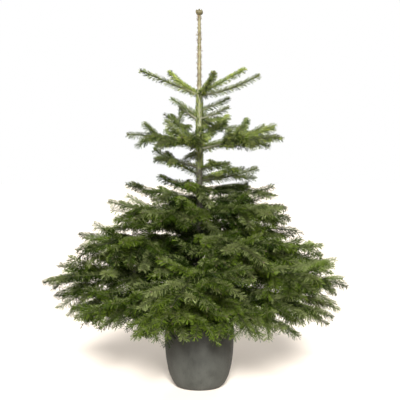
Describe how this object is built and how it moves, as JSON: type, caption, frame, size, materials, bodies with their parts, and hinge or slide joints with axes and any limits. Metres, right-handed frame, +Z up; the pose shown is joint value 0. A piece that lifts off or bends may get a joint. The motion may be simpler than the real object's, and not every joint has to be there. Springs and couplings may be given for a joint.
{
  "type": "potted nordmann fir",
  "caption": "Young fir with whorls of level to drooping boughs, flat sprays of needles and a bare leader, rooted in a round matt grey pot that stands on its flat underside.",
  "frame": {"origin": "centre of the pot's flat underside, on the floor", "axes": "+Z up along the trunk; +X to the right and +Y away, seen from the front as in the picture"},
  "size_m": [1.3202, 1.1921, 1.662],
  "materials": {
    "pot": "matt cement-grey fibre clay, mottled",
    "soil": "moist crumbly compost",
    "bark": "smooth grey-brown bark, yellow-brown on young wood",
    "needles": "satin green needles"
  },
  "bodies": {
    "root": {"pot": "pot", "soil": "soil", "trunk": "bark", "widest_1_bough": "bark", "widest_2_bough": "bark", "widest_3_bough": "bark", "widest_4_bough": "bark", "widest_5_bough": "bark", "top_1_foliage": "needles", "top_2_foliage": "needles", "top_3_foliage": "needles", "top_4_foliage": "needles", "top_5_foliage": "needles", "top_spur_1_foliage": "needles", "top_spur_2_foliage": "needles", "top_spur_3_foliage": "needles", "top_spur_4_foliage": "needles", "top_spur_5_foliage": "needles", "upper_1_foliage": "needles", "upper_2_foliage": "needles", "upper_3_foliage": "needles", "upper_4_foliage": "needles", "upper_5_foliage": "needles", "upper_6_foliage": "needles", "middle_spur_1_foliage": "needles", "middle_spur_2_foliage": "needles", "middle_spur_3_foliage": "needles", "middle_spur_4_foliage": "needles", "middle_spur_5_foliage": "needles", "middle_spur_6_foliage": "needles", "shoulder_1_foliage": "needles", "shoulder_2_foliage": "needles", "shoulder_3_foliage": "needles", "shoulder_4_foliage": "needles", "shoulder_5_foliage": "needles", "middle_1_foliage": "needles", "middle_2_foliage": "needles", "middle_3_foliage": "needles", "middle_4_foliage": "needles", "middle_5_foliage": "needles", "middle_6_foliage": "needles", "broad_1_foliage": "needles", "broad_2_foliage": "needles", "broad_3_foliage": "needles", "broad_4_foliage": "needles", "broad_5_foliage": "needles", "widest_1_foliage": "needles", "widest_2_foliage": "needles", "widest_3_foliage": "needles", "widest_4_foliage": "needles", "widest_5_foliage": "needles", "lowest_1_foliage": "needles", "lowest_2_foliage": "needles", "lowest_3_foliage": "needles", "lowest_4_foliage": "needles", "lowest_5_foliage": "needles", "lowest_6_foliage": "needles", "lowest_7_foliage": "needles", "lowest_8_foliage": "needles", "lowest_9_foliage": "needles"}
  },
  "joints": []
}
